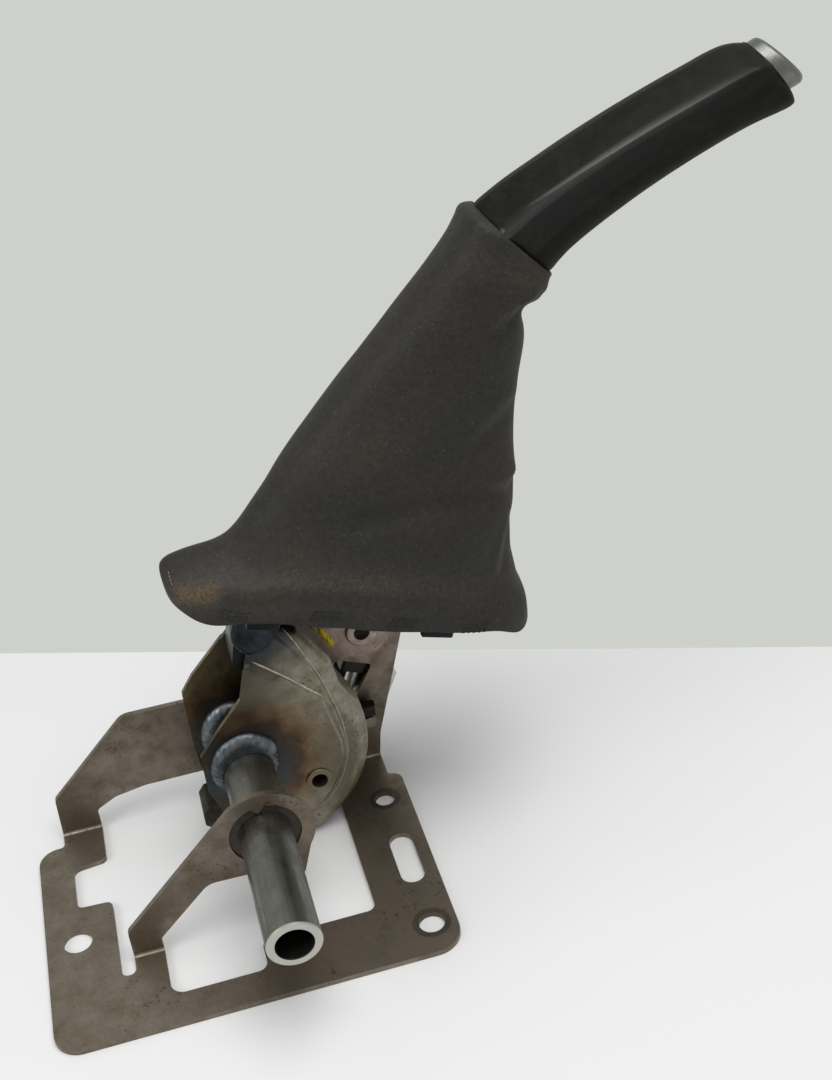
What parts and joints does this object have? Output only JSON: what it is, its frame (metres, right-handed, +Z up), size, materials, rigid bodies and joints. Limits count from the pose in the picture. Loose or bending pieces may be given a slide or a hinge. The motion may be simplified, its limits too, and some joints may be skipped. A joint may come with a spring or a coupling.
{
  "type": "parking brake lever",
  "caption": "Hand lever with a push button, ratchet sector and leatherette boot, pivoting on a cross tube in a pressed steel floor bracket.",
  "frame": {"origin": "on the pivot axis in the middle plane of the lever, 50 mm above the underside of the base plate", "axes": "+X along the base plate towards the grip, +Y to the ratchet side, +Z up; the pivot axis is Y"},
  "size_m": [0.3533, 0.1643, 0.3161],
  "materials": {
    "bracket_steel": "bare pressed steel, oily and slightly tarnished",
    "shell_steel": "bare pressed steel with heat tint near the welds",
    "tube_steel": "bare drawn steel",
    "weld_steel": "rippled weld bead",
    "sector_steel": "hardened stamped steel",
    "fastener_steel": "zinc plated steel",
    "spring_steel": "drawn steel wire",
    "plated_steel": "bright nickel plated",
    "anchor_iron": "dark phosphated",
    "bush_plastic": "satin moulded nylon",
    "switch_plastic": "satin moulded nylon",
    "frame_plastic": "satin moulded polypropylene",
    "grip_plastic": "moulded skin with a glossy ridge",
    "button_plastic": "satin silver plated plastic",
    "boot_leather": "charcoal leatherette, dusty"
  },
  "bodies": {
    "bracket": {"base_bracket": "bracket_steel", "front_bush": "bush_plastic", "rear_bush": "bush_plastic", "tooth_sector": "sector_steel", "sector_rivet_low": "fastener_steel", "sector_rivet_high": "fastener_steel", "stop_pin": "fastener_steel", "switch_housing": "switch_plastic", "switch_screw": "fastener_steel", "switch_terminal": "plated_steel"},
    "lever": {"cross_tube": "tube_steel", "lever_shell_near": "shell_steel", "lever_shell_far": "shell_steel", "stop_lug": "shell_steel", "tube_weld_near": "weld_steel", "tube_weld_far": "weld_steel", "lever_stem": "tube_steel", "shell_weld": "weld_steel", "cable_anchor": "anchor_iron", "anchor_pin": "fastener_steel", "pawl_pin": "fastener_steel", "pawl_spring": "spring_steel", "rod_guide": "bush_plastic", "stem_plug": "bush_plastic", "grip": "grip_plastic", "boot": "boot_leather", "boot_collar": "frame_plastic", "boot_frame": "frame_plastic"},
    "rod": {"push_rod": "spring_steel"},
    "pawl": {"pawl": "sector_steel"},
    "button": {"button": "button_plastic", "button_rod": "spring_steel", "button_spring": "spring_steel"},
    "plunger": {"switch_plunger": "plated_steel"}
  },
  "joints": [
    {"name": "lever_pull", "type": "hinge", "parent": "bracket", "child": "lever", "pos_m": [0, 0, 0], "axis": [0, -1, 0], "range_deg": [0, 28]},
    {"name": "button_press", "type": "slide", "parent": "lever", "child": "button", "axis": [-0.9298, 0, -0.3681], "range_m": [0, 0.005], "stiffness_N_per_m": 300, "springref_m": -0.01},
    {"name": "rod_push", "type": "slide", "parent": "lever", "child": "rod", "axis": [-0.6381, 0, -0.77], "range_m": [0, 0.005]},
    {"name": "pawl_turn", "type": "hinge", "parent": "lever", "child": "pawl", "pos_m": [0.03786, 0, 0.06679], "axis": [0, -1, 0], "range_deg": [0, 22.1]},
    {"name": "switch_press", "type": "slide", "parent": "bracket", "child": "plunger", "axis": [0.4067, 0, 0.9135], "range_m": [0, 0.003], "stiffness_N_per_m": 200, "springref_m": -0.004}
  ],
  "couplings": [
    {"joint": "rod_push", "follows": "button_press", "ratio": 1},
    {"joint": "pawl_turn", "follows": "button_press", "rad_per_m": 76.92}
  ]
}
